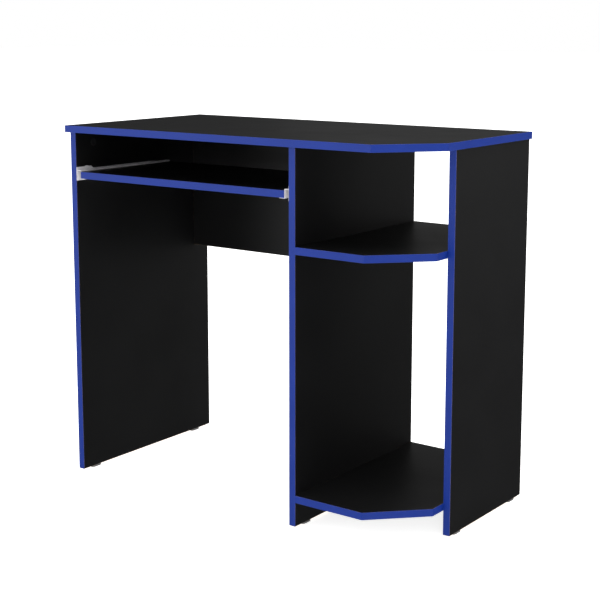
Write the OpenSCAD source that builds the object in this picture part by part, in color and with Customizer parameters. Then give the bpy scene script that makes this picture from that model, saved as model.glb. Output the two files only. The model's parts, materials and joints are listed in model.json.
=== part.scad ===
// Computer desk with a sliding keyboard tray and an open shelf bay.
// Flat-pack construction: coated boards with plastic edge bands, cam
// fittings and dowels, a modesty panel, and roller slides under the tray.
// Units are millimetres. The origin is on the floor under the middle of the
// desktop; the user sits on the -Y side and +Z points up.

/* [Desktop] */
// Width of the desktop, end to end
desk_w = 900; // [880:5:980]
// Depth of the desktop, front to back
desk_d = 450; // [440:5:600]
// Height of the upper face above the floor
desk_h = 785; // [750:5:850]
// Thickness of every board
board_t = 15; // [15:0.5:18]
// Thickness of the plastic edge bands
band_t = 0.8; // [0.4:0.1:1.5]
// Width of the clipped front right corner
corner_w = 100; // [40:5:140]
// Depth of the clipped front right corner
corner_d = 110; // [40:5:140]

/* [Side panels] */
// How far the desktop stands past the outer side panels
end_overhang = 6; // [0:1:20]
// How far the side panels stand back from the desktop's front edge
front_setback = 10.5; // [0:0.5:25]
// Clear width between the left and the centre panel
knee_w = 582.5; // [540:0.5:590]
// Depth of the right side panel, which is shorter than the others
short_panel_d = 300; // [250:5:320]

/* [Modesty panel] */
// Height of the modesty panel
modesty_h = 299; // [150:1:400]
// Distance from the back edges of the side panels to its rear face
modesty_inset = 35; // [20:1:60]

/* [Shelves] */
// Height of the middle shelf's upper face
middle_shelf_z = 575; // [450:5:640]
// Height of the bottom shelf's upper face
bottom_shelf_z = 70; // [50:5:200]
// Size of the 45 degree corner cut from each shelf
shelf_clip = 100; // [40:5:120]

/* [Keyboard tray] */
// Depth of the tray
tray_d = 290; // [285:1:310]
// Distance from the desktop's underside to the tray's upper face
tray_drop = 86; // [75:1:150]
// How far the tray's front stands back from the panel fronts
tray_setback = 1.5; // [0:0.5:5]

/* [Slides] */
// Side clearance that each slide fills
slide_gap = 12.5; // [12.5:0.1:13.5]
// Thickness of the slide's steel
sheet_t = 1; // [0.8:0.1:1.1]
// Length of the cabinet rail
rail_len = 300; // [295:1:320]
// Radius of the roller on the cabinet rail
front_roller_r = 9.7; // [8:0.1:10]
// Radius of the roller on the tray rail
rear_roller_r = 9.2; // [8:0.1:9.5]
// Width of both rollers
roller_w = 6.4; // [5:0.1:6.6]

/* [Glides] */
// Height of the plastic glides under the panels
glide_h = 5; // [3:0.5:10]
// Length of a glide, along the panel
glide_len = 28; // [20:1:40]
// Width of a glide
glide_w = 13; // [10:0.5:15]

/* [Hidden] */
$fn = 48;
cut = 1;

// Colours of the finishes
black_laminate = "#1c1c1e";
blue_band = "#2c46a8";
zinc_steel = "#b9bcc0";
grey_plastic = "#8a8c90";
white_nylon = "#e6e4de";
beech = "#d3ab7c";
zamak = "#9a9ca0";

// Main planes of the frame
front_y = -desk_d / 2;
back_y = desk_d / 2;
under_z = desk_h - board_t;
left_x = -desk_w / 2 + end_overhang;
left_in_x = left_x + board_t;
centre_x = left_in_x + knee_w;
centre_in_x = centre_x + board_t;
right_x = desk_w / 2 - end_overhang - board_t;
panel_y = front_y + front_setback;
short_y = back_y - short_panel_d;
panel_h = under_z - glide_h;
modesty_back_y = back_y - modesty_inset;
modesty_y = modesty_back_y - board_t / 2;
modesty_z = under_z - modesty_h;

// Planes of the tray
tray_top_z = under_z - tray_drop;
tray_z = tray_top_z - board_t;
tray_x = left_in_x + slide_gap;
tray_w = knee_w - 2 * slide_gap;
tray_y = panel_y + tray_setback;

// Cam fitting sizes
cam_reach = 24;
cam_bore_r = 7.5;
cam_bore_depth = 12.7;
cam_fit = 0.1;
cam_slot_w = 1.4;
cam_slot_len = 10;
cam_slot_depth = 2;
bolt_bite = 11;
bolt_r = 2.5;
bolt_collar_r = 3.6;
bolt_collar_t = 1.5;
bolt_neck_r = 2;
bolt_head_r = 3.2;
bolt_head_len = 3.5;
bolt_way_r = 4;
bolt_head_gap = 0.4;
bolt_pocket = 2;
cap_r = 8.5;
cap_t = 1;
cap_slope = 0.6;
dowel_r = 4;
dowel_bite = 10;
dowel_reach = 20;
dowel_slack = 0.5;
dowel_chamfer = 1;

// A fitting is a point in the joint between two boards and a rotation that
// lays the bolt along +X into the second board, its mouth facing +Z.
down_mouth_right = [0, 90, 0];
down_mouth_left = [0, 90, 180];
right_mouth_back = [-90, 0, 0];
left_mouth_back = [90, 0, 180];
right_mouth_down = [180, 0, 0];
left_mouth_down = [0, 180, 0];

// Distances of the cams and dowels from the front and back of each board
long_front = [55, 105];
short_front = [45, 95];
rear = [62, 120];
modesty_cam_up = 45;
modesty_cam_down = 55;
long_cam_ys = [panel_y + long_front[0], back_y - rear[0]];
long_dowel_ys = [panel_y + long_front[1], back_y - rear[1]];
short_cam_ys = [short_y + short_front[0], back_y - rear[0]];
short_dowel_ys = [short_y + short_front[1], back_y - rear[1]];
modesty_cam_zs = [modesty_z + modesty_cam_up, under_z - modesty_cam_down];
modesty_dowel_zs = [modesty_z + modesty_h / 2];
shelf_zs = [middle_shelf_z - board_t / 2, bottom_shelf_z - board_t / 2];

function top_row(x, ys, turn) = [for (y = ys) [[x, y, under_z], turn]];
function modesty_row(x, zs, turn) = [for (z = zs) [[x, modesty_y, z], turn]];
function shelf_row(x, ys, zs, turn) = [for (z = zs, y = ys) [[x, y, z], turn]];

left_mid_x = left_x + board_t / 2;
centre_mid_x = centre_x + board_t / 2;
right_mid_x = right_x + board_t / 2;
top_left_cams = top_row(left_mid_x, long_cam_ys, down_mouth_right);
top_centre_cams = top_row(centre_mid_x, long_cam_ys, down_mouth_left);
top_right_cams = top_row(right_mid_x, short_cam_ys, down_mouth_left);
top_left_dowels = top_row(left_mid_x, long_dowel_ys, down_mouth_right);
top_centre_dowels = top_row(centre_mid_x, long_dowel_ys, down_mouth_left);
top_right_dowels = top_row(right_mid_x, short_dowel_ys, down_mouth_left);
modesty_left_cams = modesty_row(left_in_x, modesty_cam_zs, right_mouth_back);
modesty_right_cams = modesty_row(centre_x, modesty_cam_zs, left_mouth_back);
modesty_left_dowels = modesty_row(left_in_x, modesty_dowel_zs, right_mouth_back);
modesty_right_dowels = modesty_row(centre_x, modesty_dowel_zs, left_mouth_back);
shelf_left_cams = shelf_row(centre_in_x, long_cam_ys, shelf_zs, right_mouth_down);
shelf_right_cams = shelf_row(right_x, short_cam_ys, shelf_zs, left_mouth_down);
shelf_left_dowels = shelf_row(centre_in_x, long_dowel_ys, shelf_zs, right_mouth_down);
shelf_right_dowels = shelf_row(right_x, short_dowel_ys, shelf_zs, left_mouth_down);
desktop_cams = concat(top_left_cams, top_centre_cams, top_right_cams);
desktop_pegs = concat(top_left_dowels, top_centre_dowels, top_right_dowels);
modesty_cams = concat(modesty_left_cams, modesty_right_cams);
modesty_pegs = concat(modesty_left_dowels, modesty_right_dowels);
shelf_cams = concat(shelf_left_cams, shelf_right_cams);
shelf_pegs = concat(shelf_left_dowels, shelf_right_dowels);

// Slide sizes, across the gap from the panel's face and up from the tray's
// underside, with lengths back from the front edges of the panels
bend_r = 1;
rail_start = 1;
rail_bottom = -5;
rail_top = 19.6;
rail_front_top = 24.4;
rail_front_len = 45;
rail_neck = 6;
rail_end = rail_start + rail_len;
ear_y = 31.5;
ear_z = 12;
ear_r = 14;
tail_lens = [72, 29, 0];
tail_drops = [0, 2.5, 6];
tail_slope = [for (i = [0 : 2]) [rail_end - tail_lens[i], rail_top - tail_drops[i]]];
top_flange_w = 9;
bottom_flange_w = 11.2;
lip_t = 0.8;
lip_h = 3;
tray_rail_start = tray_setback + 1;
tray_rail_top = 18;
tray_flange_gap = 2.2;
tray_foot_w = 12;
rail_screw_ys = [78, 150, 222];
rail_screw_z = 9;
tray_screw_ys = [42, 150, 262];
tray_screw_inset = 6.5;
tray_screw_x = slide_gap + tray_screw_inset;
roller_play = 0.3;
rear_axle_inset = 12.5;
front_axle = [ear_y, tray_rail_top - sheet_t - roller_play - front_roller_r];
rear_axle = [
    tray_setback + tray_d - rear_axle_inset,
    rail_bottom + sheet_t + roller_play + rear_roller_r
];
axle_r = 2.4;
axle_fit = 0.05;
axle_head_r = 4.2;
axle_head_t = 0.9;
axle_shoulder_r = 3.8;
axle_shoulder_t = 1.3;
axle_play = 0.2;
axle_chamfer = 0.3;
hub_wall = 0.6;
rim_wall = 1.6;
rim_chamfer = 0.4;
roller_dish = 1.2;
screw_r = 1.6;
screw_head_r = 3.4;
screw_cone = 1.9;
screw_len = 12;
pan_head_r = 3.3;
pan_head_t = 1.8;
pan_head_taper = 0.8;
pan_head_rim = 0.9;
pan_screw_len = 11;
pan_point = 2;
pan_tip = 0.5;

// Glides: distance of each centre from the front and back of its panel
long_glide_inset = [44.5, 50];
short_glide_inset = [36, 35.5];
nail_r = 0.9;
nail_len = 20;
nail_point = 2;
nail_head_r = 2.4;
nail_head_t = 0.8;
nail_sink_r = 3;
nail_sink_depth = 1.8;

// ---- outlines -----------------------------------------------------------

// Outward normal of the edge from p to q on an outline drawn anticlockwise
function edge_normal(p, q) =
    let (d = q - p)
    [d[1], -d[0]] / norm(d);

// Corner p moved in by a from the edge with normal m and by b from normal n
function inset_corner(p, m, n, a, b) =
    let (det = m[0] * n[1] - m[1] * n[0])
    p + [b * m[1] - a * n[1], a * n[0] - b * m[0]] / det;

// A convex outline moved in by steps[i] along its i-th edge
function inset(points, steps) =
    let (last = len(points))
    [for (i = [0 : last - 1])
        let (before = (i + last - 1) % last)
        inset_corner(
            points[i],
            edge_normal(points[before], points[i]),
            edge_normal(points[i], points[(i + 1) % last]),
            steps[before],
            steps[i])];

desktop_outline = [
    [-desk_w / 2, front_y],
    [desk_w / 2 - corner_w, front_y],
    [desk_w / 2, front_y + corner_d],
    [desk_w / 2, back_y],
    [-desk_w / 2, back_y]
];
shelf_outline = [
    [centre_in_x, panel_y],
    [right_x - shelf_clip, panel_y],
    [right_x, panel_y + shelf_clip],
    [right_x, back_y],
    [centre_in_x, back_y]
];
// Banded edges in order: front, clipped corner, right side, back, left side
desktop_bands = [band_t, band_t, band_t, 0, band_t];
shelf_bands = [band_t, band_t, band_t, 0, 0];

// Edges without a band are cut past, so that nothing is left on them
function past_bare(steps) = [for (s = steps) s > 0 ? s : -cut];

module board(outline, bands) {
    linear_extrude(height = board_t)
        polygon(inset(outline, bands));
}

module band(outline, bands) {
    linear_extrude(height = board_t)
        difference() {
            polygon(outline);
            polygon(inset(outline, past_bare(bands)));
        }
}

// ---- fittings -----------------------------------------------------------

module at_each(fittings) {
    for (f = fittings)
        translate(f[0])
            rotate(f[1])
                children();
}

module along_x() {
    rotate([0, 90, 0])
        children();
}

module cam_bolt() {
    head_x = cam_reach - bolt_head_len;
    along_x()
        rotate_extrude()
            polygon([
                [0, -bolt_bite], [bolt_r, -bolt_bite], [bolt_r, 0],
                [bolt_collar_r, 0], [bolt_collar_r, bolt_collar_t],
                [bolt_neck_r, bolt_collar_t], [bolt_neck_r, head_x],
                [bolt_head_r, head_x], [bolt_head_r, cam_reach],
                [0, cam_reach]
            ]);
}

module cam_lock() {
    lock_h = cam_bore_depth - 2 * cam_fit;
    mouth_z = board_t / 2 - cam_fit;
    translate([cam_reach, 0, 0])
        difference() {
            translate([0, 0, mouth_z - lock_h])
                cylinder(r = cam_bore_r - cam_fit, h = lock_h);
            translate([-cam_bore_r - cut, 0, 0])
                along_x()
                    cylinder(r = bolt_head_r + bolt_head_gap, h = cam_bore_r + cut + bolt_pocket);
            translate([0, 0, mouth_z])
                cube([cam_slot_len, cam_slot_w, 2 * cam_slot_depth], center = true);
            translate([0, 0, mouth_z])
                cube([cam_slot_w, cam_slot_len, 2 * cam_slot_depth], center = true);
        }
}

module cam_cap() {
    translate([cam_reach, 0, board_t / 2])
        cylinder(r1 = cap_r, r2 = cap_r - cap_slope, h = cap_t);
}

module cam_bores() {
    translate([-bolt_bite, 0, 0])
        along_x()
            cylinder(r = bolt_r, h = bolt_bite);
    along_x()
        cylinder(r = bolt_way_r, h = cam_reach);
    translate([cam_reach, 0, board_t / 2 - cam_bore_depth])
        cylinder(r = cam_bore_r, h = cam_bore_depth + cut);
}

module dowel() {
    end_r = dowel_r - dowel_chamfer;
    along_x()
        rotate_extrude()
            polygon([
                [0, -dowel_bite], [end_r, -dowel_bite],
                [dowel_r, dowel_chamfer - dowel_bite],
                [dowel_r, dowel_reach - dowel_chamfer],
                [end_r, dowel_reach], [0, dowel_reach]
            ]);
}

module dowel_bores() {
    translate([-dowel_bite - dowel_slack, 0, 0])
        along_x()
            cylinder(r = dowel_r, h = dowel_bite + dowel_reach + 2 * dowel_slack);
}

// The children, drilled for the cam fittings and dowels listed
module drilled(cams, pegs) {
    difference() {
        children();
        at_each(cams)
            cam_bores();
        at_each(pegs)
            dowel_bores();
    }
}

// ---- glides -------------------------------------------------------------

module at_glides(x, y_from, insets) {
    for (y = [y_from + insets[0], back_y - insets[1]])
        translate([x + board_t / 2, y, 0])
            children();
}

module at_all_glides() {
    at_glides(left_x, panel_y, long_glide_inset)
        children();
    at_glides(centre_x, panel_y, long_glide_inset)
        children();
    at_glides(right_x, short_y, short_glide_inset)
        children();
}

module glide() {
    straight = glide_len - glide_w;
    color(grey_plastic)
        difference() {
            linear_extrude(height = glide_h)
                union() {
                    square([glide_w, straight], center = true);
                    for (side = [-1, 1])
                        translate([0, side * straight / 2])
                            circle(d = glide_w);
                }
            cylinder(r = nail_r, h = glide_h + cut);
            translate([0, 0, -cut])
                cylinder(r = nail_sink_r, h = nail_sink_depth + cut);
        }
}

module glide_nail() {
    translate([0, 0, nail_sink_depth])
        rotate_extrude()
            polygon([
                [0, -nail_head_t], [nail_head_r, -nail_head_t], [nail_head_r, 0],
                [nail_r, 0], [nail_r, nail_len - nail_point], [0, nail_len]
            ]);
}

// ---- boards and bands ---------------------------------------------------

module desktop_panel() {
    color(black_laminate)
        drilled(desktop_cams, desktop_pegs)
            translate([0, 0, under_z])
                board(desktop_outline, desktop_bands);
}

module desktop_edge_band() {
    color(blue_band)
        translate([0, 0, under_z])
            band(desktop_outline, desktop_bands);
}

module side_board(x, y_from) {
    translate([x, y_from + band_t, glide_h])
        cube([board_t, back_y - y_from - band_t, panel_h]);
}

module side_band(x, y_from) {
    color(blue_band)
        translate([x, y_from, glide_h])
            cube([board_t, band_t, panel_h]);
}

module left_side_panel() {
    color(black_laminate)
        difference() {
            drilled(
                concat(top_left_cams, modesty_left_cams),
                concat(top_left_dowels, modesty_left_dowels))
                side_board(left_x, panel_y);
            on_left_slide()
                rail_screw_bores();
            at_glides(left_x, panel_y, long_glide_inset)
                glide_nail();
        }
}

module left_side_edge_band() {
    side_band(left_x, panel_y);
}

module centre_panel() {
    color(black_laminate)
        difference() {
            drilled(
                concat(top_centre_cams, modesty_right_cams, shelf_left_cams),
                concat(top_centre_dowels, modesty_right_dowels, shelf_left_dowels))
                side_board(centre_x, panel_y);
            on_right_slide()
                rail_screw_bores();
            at_glides(centre_x, panel_y, long_glide_inset)
                glide_nail();
        }
}

module centre_panel_edge_band() {
    side_band(centre_x, panel_y);
}

module right_side_panel() {
    color(black_laminate)
        difference() {
            drilled(
                concat(top_right_cams, shelf_right_cams),
                concat(top_right_dowels, shelf_right_dowels))
                side_board(right_x, short_y);
            at_glides(right_x, short_y, short_glide_inset)
                glide_nail();
        }
}

module right_side_edge_band() {
    side_band(right_x, short_y);
}

module modesty_panel() {
    color(black_laminate)
        drilled(modesty_cams, modesty_pegs)
            translate([left_in_x, modesty_y - board_t / 2, modesty_z + band_t])
                cube([knee_w, board_t, modesty_h - band_t]);
}

module modesty_edge_band() {
    color(black_laminate)
        translate([left_in_x, modesty_y - board_t / 2, modesty_z])
            cube([knee_w, board_t, band_t]);
}

module shelf_board(top_z) {
    color(black_laminate)
        drilled(shelf_cams, shelf_pegs)
            translate([0, 0, top_z - board_t])
                board(shelf_outline, shelf_bands);
}

module shelf_band(top_z) {
    color(blue_band)
        drilled(shelf_cams, shelf_pegs)
            translate([0, 0, top_z - board_t])
                band(shelf_outline, shelf_bands);
}

module middle_shelf() {
    shelf_board(middle_shelf_z);
}

module middle_shelf_edge_band() {
    shelf_band(middle_shelf_z);
}

module bottom_shelf() {
    shelf_board(bottom_shelf_z);
}

module bottom_shelf_edge_band() {
    shelf_band(bottom_shelf_z);
}

module left_panel_glides() {
    at_glides(left_x, panel_y, long_glide_inset)
        glide();
}

module centre_panel_glides() {
    at_glides(centre_x, panel_y, long_glide_inset)
        glide();
}

module right_panel_glides() {
    at_glides(right_x, short_y, short_glide_inset)
        glide();
}

module glide_nails() {
    color(zinc_steel)
        at_all_glides()
            glide_nail();
}

// ---- cam fittings and dowels --------------------------------------------

module desktop_cam_locks() {
    color(zamak)
        at_each(desktop_cams)
            cam_lock();
}

module modesty_cam_locks() {
    color(zamak)
        at_each(modesty_cams)
            cam_lock();
}

module shelf_cam_locks() {
    color(zamak)
        at_each(shelf_cams)
            cam_lock();
}

module desktop_cam_bolts() {
    color(zinc_steel)
        at_each(desktop_cams)
            cam_bolt();
}

module modesty_cam_bolts() {
    color(zinc_steel)
        at_each(modesty_cams)
            cam_bolt();
}

module shelf_cam_bolts() {
    color(zinc_steel)
        at_each(shelf_cams)
            cam_bolt();
}

module desktop_dowels() {
    color(beech)
        at_each(desktop_pegs)
            dowel();
}

module modesty_dowels() {
    color(beech)
        at_each(modesty_pegs)
            dowel();
}

module shelf_dowels() {
    color(beech)
        at_each(shelf_pegs)
            dowel();
}

module cam_caps() {
    color(black_laminate)
        at_each(concat(desktop_cams, modesty_cams, shelf_cams))
            cam_cap();
}

// ---- slides -------------------------------------------------------------

// The left slide stands on the left panel's inner face
module on_left_slide() {
    translate([left_in_x, panel_y, tray_z])
        children();
}

// The right slide is its mirror image, on the centre panel
module on_right_slide() {
    translate([centre_x, panel_y, tray_z])
        mirror([1, 0, 0])
            children();
}

// Draws a section, given as (x, z) points, along the slide from y_from to y_to
module section_run(y_from, y_to) {
    translate([0, y_to, 0])
        rotate([90, 0, 0])
            linear_extrude(height = y_to - y_from)
                children();
}

// A quarter bend of the sheet, its corner at the origin, legs along +x and +y
module bend(inner_r) {
    outer_r = inner_r + sheet_t;
    translate([outer_r, outer_r])
        intersection() {
            difference() {
                circle(r = outer_r);
                if (inner_r > 0)
                    circle(r = inner_r);
            }
            translate([-outer_r, -outer_r])
                square(outer_r);
        }
}

// An L of sheet: one leg up from the corner, one leg across
module angle_section(up, across, inner_r) {
    outer_r = inner_r + sheet_t;
    bend(inner_r);
    translate([0, outer_r])
        square([sheet_t, up - outer_r]);
    translate([outer_r, 0])
        square([across - outer_r, sheet_t]);
}

module rail_screw_bores() {
    for (y = rail_screw_ys)
        translate([sheet_t, y, rail_screw_z])
            along_x()
                rotate_extrude()
                    polygon([
                        [0, -screw_len - cut], [screw_r, -screw_len],
                        [screw_r, -screw_cone], [screw_head_r, 0],
                        [screw_head_r, cut], [0, cut]
                    ]);
}

module rail_screw() {
    along_x()
        rotate_extrude()
            polygon([
                [0, -screw_len - cut], [screw_r, -screw_len],
                [screw_r, -screw_cone], [screw_head_r, 0], [0, 0]
            ]);
}

module cabinet_web() {
    foot_z = rail_bottom + bend_r + sheet_t;
    rotate([90, 0, 90])
        linear_extrude(height = sheet_t)
            union() {
                polygon([
                    [rail_start, foot_z],
                    [rail_end, foot_z],
                    tail_slope[2],
                    tail_slope[1],
                    tail_slope[0],
                    [rail_front_len + rail_neck, rail_top],
                    [rail_front_len, rail_front_top],
                    [rail_start, rail_front_top]
                ]);
                translate([rail_start, rail_bottom])
                    square([rail_front_len - rail_start, 2 * sheet_t + bend_r]);
                translate([ear_y, ear_z])
                    circle(r = ear_r);
            }
}

module cabinet_rail() {
    fold_h = bend_r + 2 * sheet_t;
    color(zinc_steel)
        difference() {
            union() {
                cabinet_web();
                section_run(rail_front_len, rail_end)
                    translate([0, rail_bottom])
                        angle_section(fold_h, bottom_flange_w, bend_r);
                translate([bottom_flange_w - lip_t, rail_front_len, rail_bottom])
                    cube([lip_t, rail_end - rail_front_len, lip_h]);
                section_run(rail_front_len + rail_neck, tail_slope[0][0])
                    translate([0, rail_top])
                        mirror([0, 1])
                            angle_section(fold_h, top_flange_w, bend_r);
            }
            rail_screw_bores();
            translate([-cut, front_axle[0], front_axle[1]])
                along_x()
                    cylinder(r = axle_r, h = sheet_t + 2 * cut);
        }
}

module tray_rail() {
    half_h = (tray_rail_top + sheet_t) / 2;
    tray_end = tray_setback + tray_d;
    web_x = slide_gap - sheet_t;
    color(zinc_steel)
        difference() {
            section_run(tray_rail_start, tray_end)
                union() {
                    translate([web_x, -sheet_t])
                        angle_section(half_h, tray_foot_w + sheet_t, 0);
                    translate([slide_gap, tray_rail_top])
                        rotate(180)
                            angle_section(half_h, slide_gap - tray_flange_gap, bend_r);
                }
            translate([web_x - cut, rear_axle[0], rear_axle[1]])
                along_x()
                    cylinder(r = axle_r, h = sheet_t + 2 * cut);
            for (y = tray_screw_ys)
                translate([tray_screw_x, y, -2 * sheet_t])
                    cylinder(r = screw_r, h = 2 * sheet_t + cut);
        }
}

module tray_screw() {
    top_z = -sheet_t - pan_head_t;
    rotate_extrude()
        polygon([
            [0, top_z], [pan_head_r - pan_head_taper, top_z],
            [pan_head_r, -sheet_t - pan_head_rim], [pan_head_r, -sheet_t],
            [screw_r, -sheet_t], [screw_r, pan_screw_len - pan_point],
            [0, pan_screw_len - pan_tip]
        ]);
}

// An axle riveted in a web whose far face is at x = 0, reaching to +x
module axle() {
    journal_end = axle_shoulder_t + roller_w + 2 * axle_play;
    along_x()
        rotate_extrude()
            polygon([
                [0, -sheet_t], [axle_r, -sheet_t], [axle_r, 0],
                [axle_shoulder_r, 0], [axle_shoulder_r, axle_shoulder_t],
                [axle_r, axle_shoulder_t], [axle_r, journal_end],
                [axle_head_r, journal_end],
                [axle_head_r, journal_end + axle_head_t - axle_chamfer],
                [axle_head_r - axle_chamfer, journal_end + axle_head_t],
                [0, journal_end + axle_head_t]
            ]);
}

// A nylon roller on that axle: a rim, a thinner disc and a hub
module roller(rim_r) {
    bore_r = axle_r + axle_fit;
    hub_r = axle_head_r + hub_wall;
    rim_in_r = rim_r - rim_wall;
    rim_edge_r = rim_r - rim_chamfer;
    far_dish = roller_w - roller_dish;
    color(white_nylon)
        translate([axle_shoulder_t + axle_play, 0, 0])
            along_x()
                rotate_extrude()
                    polygon([
                        [bore_r, 0], [hub_r, 0], [hub_r, roller_dish],
                        [rim_in_r, roller_dish], [rim_in_r, 0], [rim_edge_r, 0],
                        [rim_r, rim_chamfer], [rim_r, roller_w - rim_chamfer],
                        [rim_edge_r, roller_w], [rim_in_r, roller_w],
                        [rim_in_r, far_dish], [hub_r, far_dish],
                        [hub_r, roller_w], [bore_r, roller_w]
                    ]);
}

module at_front_axle() {
    translate([sheet_t, front_axle[0], front_axle[1]])
        children();
}

// The rear axle points back from the tray rail towards the cabinet rail
module at_rear_axle() {
    translate([slide_gap - sheet_t, rear_axle[0], rear_axle[1]])
        mirror([1, 0, 0])
            children();
}

module cabinet_rail_left() {
    on_left_slide()
        cabinet_rail();
}

module cabinet_rail_right() {
    on_right_slide()
        cabinet_rail();
}

module rail_screws_on_slide() {
    for (y = rail_screw_ys)
        translate([sheet_t, y, rail_screw_z])
            rail_screw();
}

module cabinet_rail_screws() {
    color(zinc_steel) {
        on_left_slide()
            rail_screws_on_slide();
        on_right_slide()
            rail_screws_on_slide();
    }
}

module front_roller_axles() {
    color(zinc_steel) {
        on_left_slide()
            at_front_axle()
                axle();
        on_right_slide()
            at_front_axle()
                axle();
    }
}

module front_roller_left() {
    on_left_slide()
        at_front_axle()
            roller(front_roller_r);
}

module front_roller_right() {
    on_right_slide()
        at_front_axle()
            roller(front_roller_r);
}

// ---- keyboard tray ------------------------------------------------------

module keyboard_tray() {
    color(black_laminate)
        difference() {
            translate([tray_x, tray_y + band_t, tray_z])
                cube([tray_w, tray_d - band_t, board_t]);
            on_left_slide()
                tray_screws_on_slide();
            on_right_slide()
                tray_screws_on_slide();
        }
}

module tray_edge_band() {
    color(blue_band)
        translate([tray_x, tray_y, tray_z])
            cube([tray_w, band_t, board_t]);
}

module tray_rail_left() {
    on_left_slide()
        tray_rail();
}

module tray_rail_right() {
    on_right_slide()
        tray_rail();
}

module tray_screws_on_slide() {
    for (y = tray_screw_ys)
        translate([tray_screw_x, y, 0])
            tray_screw();
}

module tray_rail_screws() {
    color(zinc_steel) {
        on_left_slide()
            tray_screws_on_slide();
        on_right_slide()
            tray_screws_on_slide();
    }
}

module rear_roller_axles() {
    color(zinc_steel) {
        on_left_slide()
            at_rear_axle()
                axle();
        on_right_slide()
            at_rear_axle()
                axle();
    }
}

module rear_roller_left() {
    on_left_slide()
        at_rear_axle()
            roller(rear_roller_r);
}

module rear_roller_right() {
    on_right_slide()
        at_rear_axle()
            roller(rear_roller_r);
}

desktop_panel();
desktop_edge_band();
left_side_panel();
left_side_edge_band();
centre_panel();
centre_panel_edge_band();
right_side_panel();
right_side_edge_band();
modesty_panel();
modesty_edge_band();
middle_shelf();
middle_shelf_edge_band();
bottom_shelf();
bottom_shelf_edge_band();
left_panel_glides();
centre_panel_glides();
right_panel_glides();
glide_nails();
desktop_cam_locks();
modesty_cam_locks();
shelf_cam_locks();
desktop_cam_bolts();
modesty_cam_bolts();
shelf_cam_bolts();
desktop_dowels();
modesty_dowels();
shelf_dowels();
cam_caps();
cabinet_rail_left();
cabinet_rail_right();
cabinet_rail_screws();
front_roller_axles();
front_roller_left();
front_roller_right();
keyboard_tray();
tray_edge_band();
tray_rail_left();
tray_rail_right();
tray_rail_screws();
rear_roller_axles();
rear_roller_left();
rear_roller_right();
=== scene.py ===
"""Dresses a flat-pack computer desk with its finishes, edge bands and fittings.

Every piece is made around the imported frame, in its metres and axes: the user
sits on the -Y side and +Z points up. The sizes and colours that a maker would
change are in the property groups, each group of like pieces has its own
operator, and main() runs the operators in order.
"""

import json
import math
from collections import namedtuple

import bmesh
import bpy
from bpy.props import FloatProperty, FloatVectorProperty, IntProperty, PointerProperty
from mathutils import Matrix, Vector


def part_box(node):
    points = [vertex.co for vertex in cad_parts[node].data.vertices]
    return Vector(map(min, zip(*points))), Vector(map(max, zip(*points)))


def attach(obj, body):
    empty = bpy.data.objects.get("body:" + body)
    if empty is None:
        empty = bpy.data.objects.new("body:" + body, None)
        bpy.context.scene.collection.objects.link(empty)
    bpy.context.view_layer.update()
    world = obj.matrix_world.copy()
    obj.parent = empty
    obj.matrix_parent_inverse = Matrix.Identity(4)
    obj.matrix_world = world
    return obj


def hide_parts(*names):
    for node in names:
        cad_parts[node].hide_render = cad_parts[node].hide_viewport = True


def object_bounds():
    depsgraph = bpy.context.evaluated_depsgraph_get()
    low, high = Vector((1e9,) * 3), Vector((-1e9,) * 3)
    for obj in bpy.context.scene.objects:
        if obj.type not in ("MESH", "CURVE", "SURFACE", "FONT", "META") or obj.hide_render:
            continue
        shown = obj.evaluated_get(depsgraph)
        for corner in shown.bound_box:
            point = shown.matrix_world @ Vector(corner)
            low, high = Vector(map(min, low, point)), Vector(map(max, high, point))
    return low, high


bl_info = {
    "name": "Desk with keyboard tray",
    "version": (1, 0, 0),
    "blender": (4, 5, 0),
    "location": "View3D > Sidebar > Desk",
    "description": "Finishes the boards, bands, fittings and slides of a flat-pack desk",
    "category": "Object",
}

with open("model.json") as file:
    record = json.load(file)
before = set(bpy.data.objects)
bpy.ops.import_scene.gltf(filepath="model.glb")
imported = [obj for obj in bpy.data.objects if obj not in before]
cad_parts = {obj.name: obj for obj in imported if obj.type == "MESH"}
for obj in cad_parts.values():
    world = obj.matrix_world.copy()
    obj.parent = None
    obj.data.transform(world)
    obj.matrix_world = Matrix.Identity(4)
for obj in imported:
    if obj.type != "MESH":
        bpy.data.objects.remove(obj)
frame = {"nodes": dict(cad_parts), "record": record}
CAD_BOX = [list(corner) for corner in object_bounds()]
NODES = frame["nodes"]
BODY_OF = {
    node: body
    for body, members in frame["record"]["behaviour"]["bodies"].items()
    for node in members
}

MM = 0.001
MERGE = 0.00001
X, Y, Z = Vector((1, 0, 0)), Vector((0, 1, 0)), Vector((0, 0, 1))

FACETS = 0.3  # degrees: triangles flatter to each other than this are one face

# Zinc plating is a chalky film over bright steel, so it shines only in part
PLATING_METALLIC = 0.2

# How far a grain is drawn out along the wood, and along rolled steel
WOOD_GRAIN = 0.06
ROLLING_GRAIN = 0.02

# The boards, each with the axis that it is thin along
BOARDS = {
    "desktop_panel": Z,
    "left_side_panel": X,
    "centre_panel": X,
    "right_side_panel": X,
    "modesty_panel": Y,
    "middle_shelf": Z,
    "bottom_shelf": Z,
    "keyboard_tray": Z,
}
GLIDES = ("left_panel_glides", "centre_panel_glides", "right_panel_glides")
RAILS = ("cabinet_rail_left", "cabinet_rail_right", "tray_rail_left", "tray_rail_right")
ROLLERS = ("front_roller_left", "front_roller_right", "rear_roller_left", "rear_roller_right")
CAM_LOCKS = ("desktop_cam_locks", "modesty_cam_locks", "shelf_cam_locks")
CAM_BOLTS = ("desktop_cam_bolts", "modesty_cam_bolts", "shelf_cam_bolts")
DOWELS = ("desktop_dowels", "modesty_dowels", "shelf_dowels")
ROLLER_AXLES = ("front_roller_axles", "rear_roller_axles")

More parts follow.
